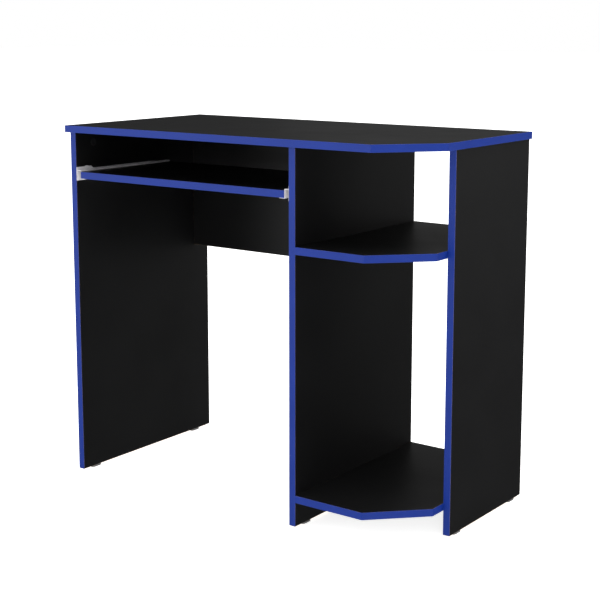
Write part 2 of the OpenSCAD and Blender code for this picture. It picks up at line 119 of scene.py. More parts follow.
# The bands that follow a clipped outline, and the straight ones: the way each
# of those runs, the side that its width lies along, and its slot
CLIPPED_BANDS = ("desktop_edge_band", "middle_shelf_edge_band", "bottom_shelf_edge_band")
STRAIGHT_BANDS = {
    "left_side_edge_band": (Z, -X, "blue_edge_band"),
    "centre_panel_edge_band": (Z, -X, "blue_edge_band"),
    "right_side_edge_band": (Z, -X, "blue_edge_band"),
    "tray_edge_band": (X, Z, "blue_edge_band"),
    "modesty_edge_band": (X, -Y, "black_edge_band"),
}

# The fittings whose outer end is their narrower one
NARROW_END_OUT = ("cam_caps",)

# Seeds of the random turn of each fitting about its own axis
SEEDS = {
    "glide_nails": 3,
    "cam_caps": 5,
    "desktop_dowels": 11,
    "modesty_dowels": 12,
    "shelf_dowels": 13,
    "desktop_cam_bolts": 21,
    "modesty_cam_bolts": 22,
    "shelf_cam_bolts": 23,
    "cabinet_rail_screws": 31,
    "tray_rail_screws": 32,
    "front_roller_axles": 41,
    "rear_roller_axles": 42,
}

# What both kinds of wood screw share
SCREW_SHANK = 1.6 * MM
SCREW_TAPER = 2.2 * MM
SCREW_POINT = 0.15 * MM
SCREW_FACETS = 28
RECESS_DEPTH = 1.5 * MM

# Corners of the rings that the glides are lofted through
GLIDE_FACETS = 40

# The soft lights: place, size, watts, and whether reflections show them
SOFTBOXES = (
    ("front_left_softbox", (-2.6, -3.2, 0.9), (2.4, 2.6), 36, True),
    ("overhead_softbox", (0.8, -0.3, 3.2), (2.6, 2.2), 58, True),
    ("back_right_softbox", (3.2, 2.4, 1.2), (2.4, 2.4), 8, True),
    ("back_left_softbox", (-1.2, 3.6, 1.3), (2.6, 2.2), 1.5, True),
    ("front_right_fill", (2.4, -2.8, 0.9), (2.0, 2.0), 25, False),
)

# Where one fitting sits: the middle of its outer end, the way that end faces,
# its length along that way and its greatest radius
Seat = namedtuple("Seat", "place facing length radius")


# ---- reading the frame -------------------------


def merged(node):
    """A mesh copy of a frame node with its loose triangles joined into faces."""
    shape = bmesh.new()
    shape.from_mesh(NODES[node].data)
    bmesh.ops.remove_doubles(shape, verts=shape.verts, dist=MERGE)
    bmesh.ops.dissolve_limit(
        shape, angle_limit=math.radians(FACETS), verts=shape.verts, edges=shape.edges
    )
    return shape


def solids(node):
    """The corner points of each separate solid in a frame node."""
    shape = bmesh.new()
    shape.from_mesh(NODES[node].data)
    bmesh.ops.remove_doubles(shape, verts=shape.verts, dist=MERGE)
    left = set(shape.verts)
    found = []
    while left:
        group = [left.pop()]
        for vert in group:
            near = {edge.other_vert(vert) for edge in vert.link_edges} & left
            left -= near
            group.extend(near)
        found.append([vert.co.copy() for vert in group])
    shape.free()
    found.sort(key=lambda points: tuple(round(c, 4) for c in middle(points)))
    return found


def extent(points):
    """Lowest and highest corner of some points."""
    low = Vector([min(p[i] for p in points) for i in range(3)])
    high = Vector([max(p[i] for p in points) for i in range(3)])
    return low, high


def middle(points):
    """Centre of the box round some points."""
    low, high = extent(points)
    return (low + high) / 2


def seats(node):
    """The seat of each round fitting in a node. Its axis is the side of its box
    that differs from the other two, and its outer end is the wider one, except
    on the fittings whose narrow end is out."""
    wide_end_out = node not in NARROW_END_OUT
    found = []
    for points in solids(node):
        low, high = extent(points)
        size = high - low
        odd = [abs(2 * size[i] - size[i - 1] - size[i - 2]) for i in range(3)]
        i = odd.index(max(odd))
        axis = (X, Y, Z)[i]
        centre = (low + high) / 2
        near = spread_at(points, centre, i, low[i])
        far = spread_at(points, centre, i, high[i])
        facing = axis if (far > near) == wide_end_out else -axis
        place = centre + facing * size[i] / 2
        found.append(Seat(place, facing, size[i], size[i - 1] / 2))
    return found


def spread_at(points, centre, i, level):
    """Greatest distance from the axis among the points at one end."""
    end = [p for p in points if abs(p[i] - level) < MERGE]
    return max((p - centre - (p - centre) * (X, Y, Z)[i] * (X, Y, Z)[i]).length for p in end)


def clipped_line(node):
    """The outer line of a band that follows a clipped outline, and half its
    width. It runs from the front left to the back right, and the desktop's
    starts at the back left."""
    low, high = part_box(node)
    points = [vert.co for vert in NODES[node].data.vertices]
    front_end = max(p.x for p in points if p.y < low.y + MERGE)
    side_start = min(p.y for p in points if p.x > high.x - MERGE)
    line = [(low.x, low.y), (front_end, low.y), (high.x, side_start), (high.x, high.y)]
    if node == "desktop_edge_band":
        line.insert(0, (low.x, high.y))
    level = (low.z + high.z) / 2
    return [Vector((x, y, level)) for x, y in line], (high.z - low.z) / 2


def straight_line(node, way, side):
    """The outer line of a straight band, and half its width."""
    low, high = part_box(node)
    outward = way.cross(side)
    start, end = (low + high) / 2, (low + high) / 2
    for i in range(3):
        if way[i]:
            start[i], end[i] = low[i], high[i]
        elif outward[i]:
            start[i] = end[i] = low[i] if outward[i] < 0 else high[i]
    return [start, end], abs((high - low) @ side) / 2


# ---- materials ---------------------------------


def new_material(name):
    material = bpy.data.materials.new(name)
    material.use_nodes = True
    return material, material.node_tree, material.node_tree.nodes["Principled BSDF"]


def fill(node, **inputs):
    """Fills a node's inputs, named with _ for a space, and gives its outputs. A
    socket is linked, and anything else is set on the input itself."""
    for name, value in inputs.items():
        target = node.inputs[name.replace("_", " ")]
        if isinstance(value, bpy.types.NodeSocket):
            node.id_data.links.new(value, target)
        else:
            target.default_value = value
    return node.outputs


def object_place(tree, stretch=(1, 1, 1)):
    """Object coordinates, scaled along each axis by stretch."""
    source = tree.nodes.new("ShaderNodeTexCoord").outputs["Object"]
    return fill(tree.nodes.new("ShaderNodeMapping"), Vector=source, Scale=stretch)["Vector"]


def noise(tree, place, scale, detail=3.0, distortion=0.0):
    node = tree.nodes.new("ShaderNodeTexNoise")
    return fill(node, Vector=place, Scale=scale, Detail=detail, Distortion=distortion)[0]


def cells(tree, place, scale, output):
    return fill(tree.nodes.new("ShaderNodeTexVoronoi"), Vector=place, Scale=scale)[output]


def tones(tree, value, stops):
    """Colours along a value, from (position, colour) pairs."""
    node = tree.nodes.new("ShaderNodeValToRGB")
    ramp = node.color_ramp
    for _ in stops[2:]:
        ramp.elements.new(1)
    for element, (position, colour) in zip(ramp.elements, stops):
        element.position = position
        element.color = (*colour, 1)
    return fill(node, Fac=value)["Color"]


def levels(tree, value, low, high, start=0.3, end=0.7):
    """A number that goes from low to high as the value goes from start to end."""
    node = tree.nodes.new("ShaderNodeMapRange")
    fill(node, Value=value, From_Min=start, From_Max=end, To_Min=low, To_Max=high)
    return node.outputs["Result"]


def blend(tree, factor, colour_a, colour_b):
    """Colour a where the factor is 0 and colour b where it is 1."""
    node = tree.nodes.new("ShaderNodeMix")
    node.data_type = "RGBA"
    tree.links.new(factor, node.inputs[0])
    tree.links.new(colour_a, node.inputs[6])
    node.inputs[7].default_value = (*colour_b, 1)
    return node.outputs[2]


def relief(tree, height, depth, strength, below=None):
    """A bump of that depth in metres, over an earlier bump where one is given."""
    node = tree.nodes.new("ShaderNodeBump")
    fill(node, Height=height, Distance=depth, Strength=strength)
    if below is not None:
        fill(node, Normal=below)
    return node.outputs["Normal"]


def shaded(colour, share):
    """A colour made darker, or lighter where the share is above 1."""
    return tuple(c * share for c in colour)


def laminate(settings):
    """Satin melamine: a fine pearl of pores, with faint cloudy wear in its gloss."""
    material, tree, shader = new_material("black_laminate")
    place = object_place(tree)
    colour = settings.laminate_colour
    cloud = noise(tree, place, 7.0, 4.0)
    grain = noise(tree, place, 900.0, 2.0)
    pores = cells(tree, place, 1500.0, "Distance")
    base = tones(tree, cloud, [(0.3, shaded(colour, 0.8)), (0.7, shaded(colour, 1.2))])
    dusty = levels(tree, grain, 0.0, 0.25, 0.45, 0.75)
    lighter = tuple(c * 2.0 + 0.002 for c in colour)
    gloss = settings.laminate_roughness
    rough = levels(tree, cloud, gloss - 0.03, gloss + 0.04)
    bumps = relief(tree, pores, 0.00003, 0.2, relief(tree, grain, 0.00004, 0.25))
    colour = blend(tree, dusty, base, lighter)
    fill(shader, Base_Color=colour, Roughness=rough, Normal=bumps)
    fill(shader, Specular_IOR_Level=settings.laminate_specular)
    return material


def chipboard(settings):
    """The pressed wood flakes that show on an edge without a band."""
    material, tree, shader = new_material("raw_chipboard")
    place = object_place(tree, (1, 1, 1.6))
    dark, light = settings.core_dark, settings.core_light
    flakes = cells(tree, place, 420.0, "Color")
    dust = noise(tree, place, 1600.0, 3.0)
    mixed = tuple((a + b) / 2 for a, b in zip(dark, light))
    stops = [(0.15, dark), (0.5, mixed), (0.85, light)]
    speck = levels(tree, dust, 0.0, 0.6, 0.52, 0.62)
    colour = blend(tree, speck, tones(tree, flakes, stops), shaded(dark, 0.5))
    gaps = cells(tree, place, 420.0, "Distance")
    bumps = relief(tree, gaps, 0.0003, 0.5, relief(tree, dust, 0.0002, 0.5))
    fill(shader, Base_Color=colour, Roughness=0.85, Normal=bumps)
    return material


def edge_band(name, colour, settings):
    """Plastic band: fine leather grain, scraped paler along its rounded arrises."""
    material, tree, shader = new_material(name)
    place = object_place(tree)
    cloud = noise(tree, place, 14.0, 3.0)
    grain = noise(tree, place, 1300.0, 2.0, 0.4)
    base = tones(tree, cloud, [(0.3, shaded(colour, 0.93)), (0.7, shaded(colour, 1.05))])
    arris = tree.nodes.new("ShaderNodeAttribute")
    arris.attribute_name = "arris"
    scraped = tuple(c * 1.1 + 0.012 for c in colour)
    mixed = blend(tree, arris.outputs["Fac"], base, scraped)
    gloss = settings.band_roughness
    rough = levels(tree, cloud, gloss - 0.03, gloss + 0.03)
    fill(shader, Base_Color=mixed, Roughness=rough, Normal=relief(tree, grain, 0.00004, 0.3))
    fill(shader, Specular_IOR_Level=settings.band_specular)
    return material


def rolled_zinc(settings):
    """Zinc-plated strip steel, with the fine lines that rolling leaves along Y."""
    material, tree, shader = new_material("zinc_plated_strip")
    place = object_place(tree, (1, ROLLING_GRAIN, 1))
    spread = object_place(tree)
    colour = settings.steel_colour
    lines = noise(tree, place, 900.0, 2.0)
    spangle = cells(tree, spread, 160.0, "Color")
    stain = noise(tree, spread, 35.0, 3.0)
    base = tones(tree, spangle, [(0.2, shaded(colour, 0.9)), (0.8, colour)])
    dull = levels(tree, stain, 0.0, 0.3, 0.5, 0.7)
    worn = blend(tree, dull, base, shaded(colour, 0.72))
    rough, bumps = levels(tree, lines, 0.36, 0.5), relief(tree, lines, 0.00003, 0.3)
    fill(shader, Base_Color=worn, Roughness=rough, Normal=bumps, Metallic=PLATING_METALLIC)
    return material


def bright_zinc(settings):
    """The zinc plating on screws, bolts, nails and axles, made once for all."""
    known = bpy.data.materials.get("zinc_plated_fittings")
    if known:
        return known
    material, tree, shader = new_material("zinc_plated_fittings")
    place = object_place(tree)
    colour = settings.steel_colour
    stain = noise(tree, place, 260.0, 3.0)
    scratch = noise(tree, place, 2200.0, 2.0)
    base = tones(tree, stain, [(0.35, shaded(colour, 0.8)), (0.65, colour)])
    rough, bumps = levels(tree, scratch, 0.26, 0.42), relief(tree, scratch, 0.00002, 0.3)
    fill(shader, Base_Color=base, Roughness=rough, Normal=bumps, Metallic=PLATING_METALLIC)
    return material


def cast_zinc(settings):
    """Die-cast zinc alloy of the cam locks, tumbled grey."""
    material, tree, shader = new_material("cast_zinc_alloy")
    place = object_place(tree)
    colour = shaded(settings.steel_colour, 0.6)
    grit = noise(tree, place, 1800.0, 3.0)
    patch = noise(tree, place, 180.0, 2.0)
    base = tones(tree, patch, [(0.3, shaded(colour, 0.75)), (0.7, colour)])
    rough, bumps = levels(tree, grit, 0.45, 0.65), relief(tree, grit, 0.0001, 0.4)
    fill(shader, Base_Color=base, Roughness=rough, Normal=bumps, Metallic=1.0)
    return material


def moulded_plastic(name, colour, roughness, depth):
    """Injection-moulded plastic with spark-eroded grain."""
    material, tree, shader = new_material(name)
    place = object_place(tree)
    cloud = noise(tree, place, 120.0, 2.0)
    grain = noise(tree, place, 2400.0, 2.0)
    base = tones(tree, cloud, [(0.3, shaded(colour, 0.88)), (0.7, colour)])
    rough = levels(tree, grain, roughness - 0.06, roughness + 0.06)
    fill(shader, Base_Color=base, Roughness=rough, Normal=relief(tree, grain, depth, 0.35))
    return material


def beech(name, stretch, settings):
    """Beech with its grain along the dowel and short dark flecks."""
    material, tree, shader = new_material(name)
    place = object_place(tree, stretch)
    colour = settings.dowel_colour
    fibres = noise(tree, place, 900.0, 4.0, 0.6)
    flecks = noise(tree, place, 2400.0, 2.0)
    base = tones(tree, fibres, [(0.3, shaded(colour, 0.72)), (0.7, colour)])
    fleck = levels(tree, flecks, 0.0, 0.5, 0.6, 0.7)
    flecked = blend(tree, fleck, base, shaded(colour, 0.45))
    fill(shader, Base_Color=flecked, Roughness=0.7, Normal=relief(tree, fibres, 0.00008, 0.5))
    return material


# ---- making pieces -----------------------------


def to_mesh(shape, name, materials, crease=None):
    """Ends a bmesh and gives it back as a mesh with those materials, shaded
    smooth across edges that turn less than crease degrees, where it is given."""
    mesh = bpy.data.meshes.new(name)
    shape.to_mesh(mesh)
    shape.free()
    for material in materials:
        mesh.materials.append(material)
    if crease is not None:
        smooth_round(mesh, math.radians(crease))
    return mesh


def new_object(name, data):
    made = bpy.data.objects.new(name, data)
    bpy.context.scene.collection.objects.link(made)
    return made


def evaluated(holder, *tools):
    """The mesh that an object's modifier gives. The object and its tools go."""
    bpy.context.view_layer.update()
    graph = bpy.context.evaluated_depsgraph_get()
    mesh = bpy.data.meshes.new_from_object(holder.evaluated_get(graph), depsgraph=graph)
    holder.modifiers.clear()
    for made in (holder, *tools):
        bpy.data.objects.remove(made)
    return mesh


def add_piece(mesh, node):
    """Shows a mesh in place of a frame node, on the same body."""
    if not mesh.polygons:
        raise RuntimeError(f"the piece for {node} has no faces")
    piece = new_object(f"{node}_finished", mesh)
    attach(piece, BODY_OF[node])
    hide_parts(node)
    return piece


def dress(node, material):
    """Gives a frame node that is shown as it is another material."""
    slots = NODES[node].material_slots
    if not slots:
        raise RuntimeError(f"{node} has no material slot")
    for slot in slots:
        slot.material = material


def ring_loft(shape, rings, closed=False):
    """Walls between rings of the same number of points, capped at both ends
    unless the last ring joins the first again."""
    loops = [[shape.verts.new(p) for p in ring] for ring in rings]
    count = len(rings[0])
    pairs = list(zip(loops, loops[1:]))
    if closed:
        pairs.append((loops[-1], loops[0]))
    for one, two in pairs:
        for i in range(count):
            j = (i + 1) % count
            shape.faces.new((one[i], one[j], two[j], two[i]))
    if not closed:
        shape.faces.new(reversed(loops[0]))
        shape.faces.new(loops[-1])


def circle(radius, level, count, turn=0.0):
    """A ring of points round Z, its first one turned from X by that angle."""
    return [
        Vector((
            radius * math.cos(math.tau * i / count + turn),
            radius * math.sin(math.tau * i / count + turn),
            level,
        ))
        for i in range(count)
    ]


def turned(profile, count=32, closed=False):
    """A shape turned round Z from (radius, level) pairs."""
    shape = bmesh.new()
    ring_loft(shape, [circle(r, z, count) for r, z in profile], closed)
    bmesh.ops.recalc_face_normals(shape, faces=shape.faces)
    return shape


def rounded(start, end, bulge, steps):
    """Points of a quarter round from start to end, its corner at bulge."""
    points = []
    for i in range(steps + 1):
        angle = math.pi / 2 * i / steps
        a, b = 1 - math.cos(angle), 1 - math.sin(angle)
        points.append(tuple(
            c + (s - c) * b + (e - c) * a for s, e, c in zip(start, end, bulge)
        ))
    return points


def smooth_round(mesh, angle):
    """Smooth shading across edges under an angle, and sharp edges above it."""
    shape = bmesh.new()
    shape.from_mesh(mesh)
    for face in shape.faces:
        face.smooth = True
    for edge in shape.edges:
        edge.smooth = not edge.is_manifold or edge.calc_face_angle() < angle
    shape.to_mesh(mesh)
    shape.free()


def thread(radius, start, end, settings):
    """Profile points of a thread from start down to end, as pointed rings."""
    root, pitch = radius - settings.thread_depth, settings.thread_pitch
    points = []
    for i in range(int((start - end) / pitch)):
        top = start - i * pitch
        points += [(root, top), (radius, top - pitch / 2)]
    return points


# ---- fittings placed by Geometry Nodes ---------


def fittings_tree():
    """Puts a copy of one fitting at every point, turned as the point says."""
    tree = bpy.data.node_groups.new("fittings at their seats", "GeometryNodeTree")
    sockets = (
        ("Seats", "INPUT", "NodeSocketGeometry"),
        ("Fitting", "INPUT", "NodeSocketObject"),
        ("Finish", "INPUT", "NodeSocketMaterial"),
        ("Spin", "INPUT", "NodeSocketFloat"),
        ("Seed", "INPUT", "NodeSocketInt"),
        ("Fittings", "OUTPUT", "NodeSocketGeometry"),
    )
    for name, side, kind in sockets:
        tree.interface.new_socket(name, in_out=side, socket_type=kind)
    make = tree.nodes.new
    given, result = make("NodeGroupInput"), make("NodeGroupOutput")
    fitting = make("GeometryNodeObjectInfo")
    turn = make("GeometryNodeInputNamedAttribute")
    turn.data_type = "FLOAT_VECTOR"
    turn.inputs["Name"].default_value = "turn"
    seat_rotation = make("FunctionNodeEulerToRotation")
    chance = make("FunctionNodeRandomValue")
    chance.data_type = "FLOAT"
    about_axis = make("ShaderNodeCombineXYZ")
    own_rotation = make("FunctionNodeEulerToRotation")
    both = make("FunctionNodeRotateRotation")
    both.rotation_space = "LOCAL"
    copies = make("GeometryNodeInstanceOnPoints")
    real = make("GeometryNodeRealizeInstances")
    finish = make("GeometryNodeSetMaterial")
    for source, output, target, socket in (
        (given, "Fitting", fitting, "Object"),
        (turn, "Attribute", seat_rotation, "Euler"),
        (given, "Spin", chance, 3),
        (given, "Seed", chance, "Seed"),
        (chance, 1, about_axis, "Z"),
        (about_axis, "Vector", own_rotation, "Euler"),
        (seat_rotation, "Rotation", both, "Rotation"),
        (own_rotation, "Rotation", both, "Rotate By"),
        (given, "Seats", copies, "Points"),
        (fitting, "Geometry", copies, "Instance"),
        (both, "Rotation", copies, "Rotation"),
        (copies, "Instances", real, "Geometry"),
        (real, "Geometry", finish, "Geometry"),
        (given, "Finish", finish, "Material"),
        (finish, "Geometry", result, "Fittings"),
    ):
        tree.links.new(source.outputs[output], target.inputs[socket])
    return tree


def set_inputs(modifier, **values):
    """Sets a Geometry Nodes modifier's inputs through their identifiers."""
    for item in modifier.node_group.interface.items_tree:
        if item.name in values:
            modifier[item.identifier] = values[item.name]


def at_seats(node, places, fitting, finish):
    """The mesh of a node's fittings: one mesh copied to every seat."""
    points = bpy.data.meshes.new("seats")
    points.from_pydata([seat.place for seat in places], [], [])
    turn = points.attributes.new("turn", "FLOAT_VECTOR", "POINT")
    for value, seat in zip(turn.data, places):
        value.vector = seat.facing.to_track_quat("Z", "Y").to_euler()
    holder = new_object("seats", points)
    sample = bpy.data.objects.new("fitting", fitting)
    modifier = holder.modifiers.new("Fittings", "NODES")
    tree = bpy.data.node_groups.get("fittings at their seats")
    modifier.node_group = tree or fittings_tree()
    set_inputs(modifier, Fitting=sample, Finish=finish, Spin=math.tau, Seed=SEEDS[node])
    mesh = evaluated(holder, sample)
    mesh.name = f"{node}_finished"
    return mesh


def add_fittings(node, make, finish, slot, *sizes):
    """Shows the fitting that make gives for those sizes at every seat of a node."""
    places = seats(node)
    mesh = at_seats(node, places, make(places[0], *sizes), finish)
    add_piece(mesh, node)


def fitting_mesh(shape, crease=40):
    """One fitting, its outer end at the origin and facing +Z."""
    return to_mesh(shape, "fitting", [], crease)


def cross_recess(mesh, width, wing, depth):
    """Cuts a tapered cross into the top of a screw head at the origin."""
    cutter = bmesh.new()
    for turn in (0, math.pi / 2):
        box = bmesh.ops.create_cube(cutter, size=1)["verts"]
        for vert in box:
            taper = 1 if vert.co.z > 0 else 0.35
            vert.co.x *= width * taper
            vert.co.y *= wing * (1 if vert.co.z > 0 else 0.7)
            vert.co.z = depth * 0.5 if vert.co.z > 0 else -depth
        bmesh.ops.rotate(cutter, verts=box, matrix=Matrix.Rotation(turn, 3, "Z"))
    tool = new_object("cutter", to_mesh(cutter, "cutter", []))
    blank = new_object("blank", mesh)
    cut = blank.modifiers.new("Recess", "BOOLEAN")
    cut.object = tool
    cut.solver = "EXACT"
    cut.use_self = True
    return evaluated(blank, tool)


# ---- settings ----------------------------------


def colour_setting(name, description, default):
    return FloatVectorProperty(
        name=name, description=description, subtype="COLOR", min=0.0, max=1.0, default=default
    )


def share_setting(name, description, default, least=0.0):
    return FloatProperty(
        name=name, description=description, subtype="FACTOR", min=least, max=1.0, default=default
    )


def length_setting(name, description, default, least, most):
    """A length in metres, shown to a hundredth of a millimetre."""
    return FloatProperty(
        name=name,
        description=description,
        unit="LENGTH",
        precision=5,
        min=least,
        max=most,
        default=default,
    )


def angle_setting(name, description, default):
    return FloatProperty(name=name, description=description, subtype="ANGLE", default=default)


def count_setting(name, description, default, least, most):
    return IntProperty(name=name, description=description, min=least, max=most, default=default)


def strength_setting(name, description, default, most):
    return FloatProperty(name=name, description=description, min=0.0, max=most, default=default)


class DeskBoardSettings(bpy.types.PropertyGroup):
    """Finish of the coated boards."""

    laminate_colour: colour_setting(
        "Laminate colour", "Colour of the satin coating on the boards", (0.0042, 0.0042, 0.0045)
    )
    laminate_roughness: share_setting(
        "Laminate roughness", "How far the coating spreads a reflection", 0.42, 0.05
    )
    laminate_specular: share_setting("Laminate gloss", "Strength of the coating's reflection", 0.45)
    core_dark: colour_setting(
        "Dark flakes", "Darker colour in the chipboard core", (0.2, 0.115, 0.055)
    )
    core_light: colour_setting(
        "Light flakes", "Lighter colour in the chipboard core", (0.52, 0.36, 0.2)
    )
    arris: length_setting(
        "Board arris", "How far the long edges of a board are broken", 0.00015, 0.0, 0.0005
    )


class DeskBandSettings(bpy.types.PropertyGroup):
    """Finish of the edge bands."""

    blue_colour: colour_setting(
        "Blue band", "Colour of the bands on the showing edges", (0.004, 0.0215, 0.18)
    )
    black_colour: colour_setting(
        "Black band", "Colour of the band under the modesty panel", (0.008, 0.008, 0.009)
    )
    band_roughness: share_setting(
        "Band roughness", "How far a band spreads a reflection", 0.42, 0.05
    )
    band_specular: share_setting("Band gloss", "Strength of a band's reflection", 0.22)
    round_radius: length_setting(
        "Arris radius", "Radius that the trimmer leaves along a band", 0.0005, 0.0001, 0.0007
    )
    joint_gap: length_setting(
        "Joint gap", "Gap at a corner where two strips of band meet", 0.00008, 0.0, 0.0003
    )


class DeskFittingSettings(bpy.types.PropertyGroup):
    """Shape and finish of the screws, caps, dowels and glides."""

    steel_colour: colour_setting(
        "Zinc plating", "Colour that the plated steel reflects", (0.66, 0.645, 0.675)
    )
    dowel_colour: colour_setting("Dowels", "Colour of the beech dowels", (0.62, 0.42, 0.24))
    glide_colour: colour_setting("Glides", "Colour of the plastic glides", (0.13, 0.132, 0.135))
    cap_colour: colour_setting(
        "Caps", "Colour of the caps over the cam locks", (0.009, 0.009, 0.0095)
    )
    recess_width: length_setting(
        "Cross width", "Width of one wing of a cross recess", 0.0009, 0.0004, 0.0015
    )
    thread_pitch: length_setting(
        "Thread pitch", "Distance between two turns of a wood thread", 0.0014, 0.0008, 0.003
    )
    thread_depth: length_setting("Thread depth", "Depth of a wood thread", 0.0004, 0.0002, 0.0008)
    flutes: count_setting("Dowel flutes", "Number of glue flutes pressed into a dowel", 16, 8, 32)


class DeskSlideSettings(bpy.types.PropertyGroup):
    """Shape and finish of the slides' rollers, whose nylon colour is darkened as painted shade for
    the rail channel round them.
    """

    # The roller colour is painted shade: darker than the nylon is, standing in for the shade inside
    # the rail channel
    nylon_colour_and_painted_shade: colour_setting("Rollers", "Colour of the nylon rollers", (0.22, 0.22, 0.215))
    roller_ribs: count_setting("Roller ribs", "Number of ribs in each side of a roller", 6, 3, 12)


class DeskStageSettings(bpy.types.PropertyGroup):
    """Camera, floor and lights."""

    camera_place: FloatVectorProperty(
        name="Camera",
        description="Place of the camera",
        subtype="TRANSLATION",
        unit="LENGTH",
        default=(1.7051, -2.2772, 1.0045),
    )
    camera_turn: angle_setting("Turn", "How far the camera is turned round from +Y", 0.6364)
    camera_tilt: angle_setting("Tilt", "How far the camera looks down", math.radians(9.17))
    camera_shift: FloatProperty(
        name="Shift",
        description="How far the view is shifted up, as a share of its width",
        default=-0.1,
    )
    lens: FloatProperty(
        name="Lens",
        description="Focal length of the camera, in millimetres",
        min=20.0,
        max=200.0,
        default=80.51,
    )
    floor_colour: colour_setting("Floor", "Colour of the floor", (1.0, 1.0, 1.0))
    floor_glow: strength_setting(
        "Floor glow", "Light that the floor gives out, which keeps its shadows soft", 0.8, 1.0
    )
    room_light: strength_setting(
        "Room light", "Brightness of the pale room around the desk", 1.0, 4.0
    )
    room_gloss: strength_setting(
        "Room in reflections", "Brightness of the room as a glossy surface reflects it", 0.07, 4.0
    )


# ---- boards ------------------------------------


def break_arrises(shape, width):
    """Bevels the long square edges of a board, and leaves its bores alone."""
    shortest, bluntest = 12 * MM, math.radians(60)
    edges = [
        edge
        for edge in shape.edges
        if edge.is_manifold
        and edge.calc_length() > shortest
        and edge.calc_face_angle() > bluntest
    ]
    bmesh.ops.bevel(
        shape,
        geom=edges,
        offset=width,
        offset_type="OFFSET",
        segments=2,
        profile=0.5,
        affect="EDGES",
        clamp_overlap=True,
    )


def board_mesh(node, thin, coat, core, arris):
    """A board with its coated faces and its bare core told apart."""
    shape = merged(node)
    low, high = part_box(node)
    break_arrises(shape, arris)
    for face in shape.faces:
        level = face.calc_center_median() @ thin
        outside = min(abs(level - low @ thin), abs(level - high @ thin)) < MERGE
        face.material_index = 0 if outside and abs(face.normal @ thin) > 0.9 else 1
    return to_mesh(shape, f"{node}_finished", [coat, core])


class DESK_OT_add_boards(bpy.types.Operator):
    """Add the coated chipboard boards, drilled for their fittings"""

    bl_idname = "desk.add_boards"
    bl_label = "Add boards"

    def execute(self, context):
        settings = context.scene.desk_boards
        coat = laminate(settings)
        core = chipboard(settings)
        for node, thin in BOARDS.items():
            mesh = board_mesh(node, thin, coat, core, settings.arris)
            add_piece(mesh, node)
        return {"FINISHED"}


# ---- edge bands --------------------------------


def band_section(thick, half, radius, steps=4):
    """Outline of a band across its length, as (outward, sideways) pairs, with
    its two outer arrises rounded. Also says which sides are the rounds."""
    lower = rounded((thick - radius, -half), (thick, radius - half), (thick, -half), steps)
    upper = rounded((thick, half - radius), (thick - radius, half), (thick, half), steps)
    points = [(0, -half), *lower, *upper, (0, half)]
    rounds = [*range(1, steps + 1), *range(steps + 2, 2 * steps + 2)]
    return points, rounds


def add_strip(shape, start, end, side, section, leans, gap):
    """One strip of band between two points of the board's outer line. leans are
    the tangents of half the turn at each end, where the strip is mitred."""
    points, rounds = section
    thick = max(out for out, _ in points)
    along = (end - start).normalized()
    outward = along.cross(side)
    rings = []
    for corner, lean, way in ((start, leans[0], 1), (end, leans[1], -1)):
        trim = gap / 2 if lean else 0
        rings.append([
            corner
            - outward * (thick - out)
            + side * across
            + along * way * ((thick - out) * lean + trim)
            for out, across in points
        ])
    first = len(shape.faces)
    ring_loft(shape, rings)
    marks = shape.faces.layers.float.get("arris") or shape.faces.layers.float.new("arris")
    shape.faces.ensure_lookup_table()
    for i in rounds:
        shape.faces[first + i][marks] = 1.0


def band_mesh(node, corners, side, half, thick, material, settings):
    """The strips of band that follow the corners of a board's outline."""
    shape = bmesh.new()
    section = band_section(thick, half, settings.round_radius)
    ways = [(b - a).normalized() for a, b in zip(corners, corners[1:])]
    turns = [math.tan(a.angle(b) / 2) for a, b in zip(ways, ways[1:])]
    leans = list(zip([0, *turns], [*turns, 0]))
    for start, end, lean in zip(corners, corners[1:], leans):
        add_strip(shape, start, end, side, section, lean, settings.joint_gap)
    bmesh.ops.recalc_face_normals(shape, faces=shape.faces)
    return to_mesh(shape, f"{node}_finished", [material])


class DESK_OT_add_bands(bpy.types.Operator):
    """Add the edge bands, one strip to each straight edge"""

    bl_idname = "desk.add_bands"
    bl_label = "Add edge bands"

    def execute(self, context):
        settings = context.scene.desk_bands
        finishes = {
            "blue_edge_band": edge_band("blue_edge_band", settings.blue_colour, settings),
            "black_edge_band": edge_band("black_edge_band", settings.black_colour, settings),
        }
        low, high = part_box("tray_edge_band")
        thick = high.y - low.y
        bands = [(node, *clipped_line(node), Z, "blue_edge_band") for node in CLIPPED_BANDS]
        for node, (way, side, slot) in STRAIGHT_BANDS.items():
            bands.append((node, *straight_line(node, way, side), side, slot))
        for node, line, half, side, slot in bands:
            mesh = band_mesh(node, line, side, half, thick, finishes[slot], settings)
            add_piece(mesh, node)
        return {"FINISHED"}


# ---- glides ------------------------------------


def long_ring(width, length, inset, level):
    """A ring with two straight sides and round ends, at one level."""
    shift = (length - width) / 2
    ring = circle(width / 2 - inset, level, GLIDE_FACETS, math.pi / GLIDE_FACETS)
    for point in ring:
        point.y += math.copysign(shift, point.y)
    return ring


def round_ring(radius, level):
    return circle(radius, level, GLIDE_FACETS, math.pi / GLIDE_FACETS)


